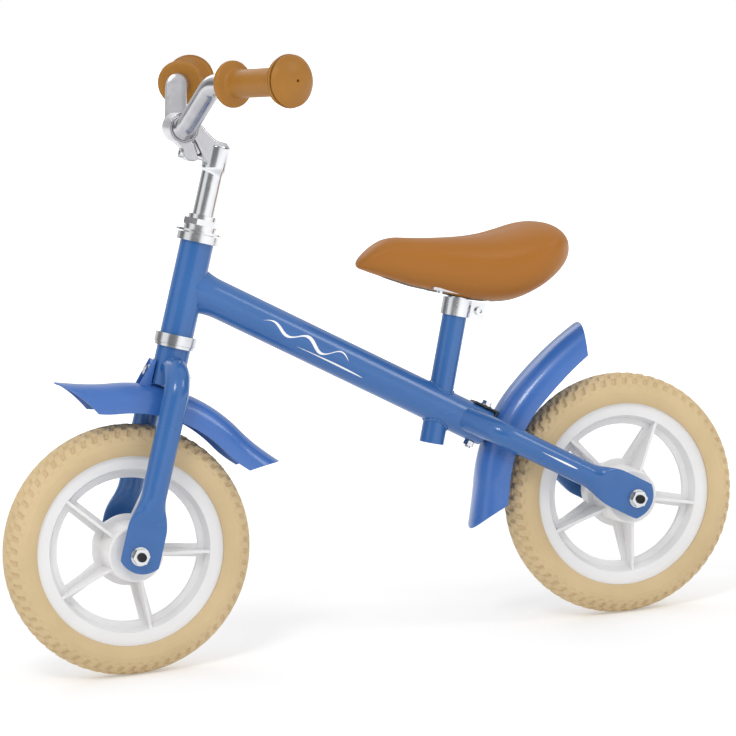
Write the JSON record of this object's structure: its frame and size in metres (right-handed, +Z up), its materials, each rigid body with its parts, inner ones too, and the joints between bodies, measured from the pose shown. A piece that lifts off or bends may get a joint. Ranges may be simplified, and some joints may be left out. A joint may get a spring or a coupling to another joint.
{
  "type": "balance bike",
  "caption": "Child's balance bike with a steel frame, foam tyres on spoked wheels, fenders, a padded saddle and a steerable fork.",
  "frame": {"origin": "on the ground, midway between the two axles, in the bike's middle plane", "axes": "+X the way the bike rides, +Y the rider's left, +Z up"},
  "size_m": [0.788, 0.3864, 0.6131],
  "materials": {
    "frame_paint": "gloss blue powder coat",
    "fender_plastic": "gloss blue moulded plastic",
    "bracket_steel": "black paint",
    "axle_steel": "blackened steel thread",
    "spacer_alloy": "satin",
    "chrome_parts": "bright chrome plate",
    "ball_steel": "polished",
    "tyre_foam": "matt cream foam with a block tread",
    "rim_plastic": "semi-gloss white moulded plastic",
    "stem_alloy": "satin cast alloy",
    "bar_steel": "satin plated",
    "grip_rubber": "matt tan rubber",
    "saddle_base_plastic": "black",
    "saddle_cover": "tan synthetic leather"
  },
  "bodies": {
    "frame": {"main_tube": "frame_paint", "head_tube": "frame_paint", "seat_tube": "frame_paint", "left_stay": "frame_paint", "right_stay": "frame_paint", "lower_headset_cup": "chrome_parts", "upper_headset_cup": "chrome_parts", "seat_collar": "chrome_parts", "seat_collar_bolt": "chrome_parts", "rear_fender": "fender_plastic", "rear_fender_bracket": "bracket_steel", "rear_fender_screws": "bracket_steel", "rear_fender_bolt": "chrome_parts", "rear_fender_nut": "chrome_parts", "rear_axle": "axle_steel", "rear_axle_spacers": "spacer_alloy", "rear_axle_washers": "chrome_parts", "rear_axle_nuts": "chrome_parts"},
    "fork": {"fork_steerer": "chrome_parts", "fork_crown": "frame_paint", "left_fork_leg": "frame_paint", "right_fork_leg": "frame_paint", "crown_race": "chrome_parts", "lower_headset_balls": "ball_steel", "upper_headset_balls": "ball_steel", "adjusting_cone": "chrome_parts", "lock_washer": "chrome_parts", "headset_locknut": "chrome_parts", "front_fender": "fender_plastic", "front_fender_bolt": "chrome_parts", "front_fender_nut": "chrome_parts", "front_axle": "axle_steel", "front_axle_spacers": "spacer_alloy", "front_axle_washers": "chrome_parts", "front_axle_nuts": "chrome_parts"},
    "front_wheel": {"front_tyre": "tyre_foam", "front_rim": "rim_plastic", "front_hub_bushes": "spacer_alloy"},
    "rear_wheel": {"rear_tyre": "tyre_foam", "rear_rim": "rim_plastic", "rear_hub_bushes": "spacer_alloy"},
    "stem": {"stem": "stem_alloy", "stem_wedge": "spacer_alloy", "stem_expander_bolt": "chrome_parts", "stem_clamp_bolt": "chrome_parts"},
    "handlebar": {"handlebar": "bar_steel", "left_grip": "grip_rubber", "right_grip": "grip_rubber"},
    "saddle": {"seat_post": "chrome_parts", "saddle_plate": "spacer_alloy", "saddle_base": "saddle_base_plastic", "saddle_screws": "chrome_parts", "saddle_pad": "saddle_cover"}
  },
  "joints": [
    {"name": "steering", "type": "hinge", "parent": "frame", "child": "fork", "pos_m": [0.26509, 0, 0.12641], "axis": [-0.2924, 0, 0.9563], "continuous": true},
    {"name": "front_wheel_spin", "type": "hinge", "parent": "fork", "child": "front_wheel", "pos_m": [0.267, 0, 0.127], "axis": [0, 1, 0], "continuous": true},
    {"name": "rear_wheel_spin", "type": "hinge", "parent": "frame", "child": "rear_wheel", "pos_m": [-0.267, 0, 0.127], "axis": [0, 1, 0], "continuous": true},
    {"name": "stem_height", "type": "slide", "parent": "fork", "child": "stem", "axis": [-0.2924, 0, 0.9563], "range_m": [-0.04, 0.02]},
    {"name": "bar_angle", "type": "hinge", "parent": "stem", "child": "handlebar", "pos_m": [0.18129, 0, 0.54417], "axis": [0, 1, 0], "range_deg": [-45, 45]},
    {"name": "seat_height", "type": "slide", "parent": "frame", "child": "saddle", "axis": [-0.2521, 0, 0.9677], "range_m": [0, 0.07]}
  ]
}
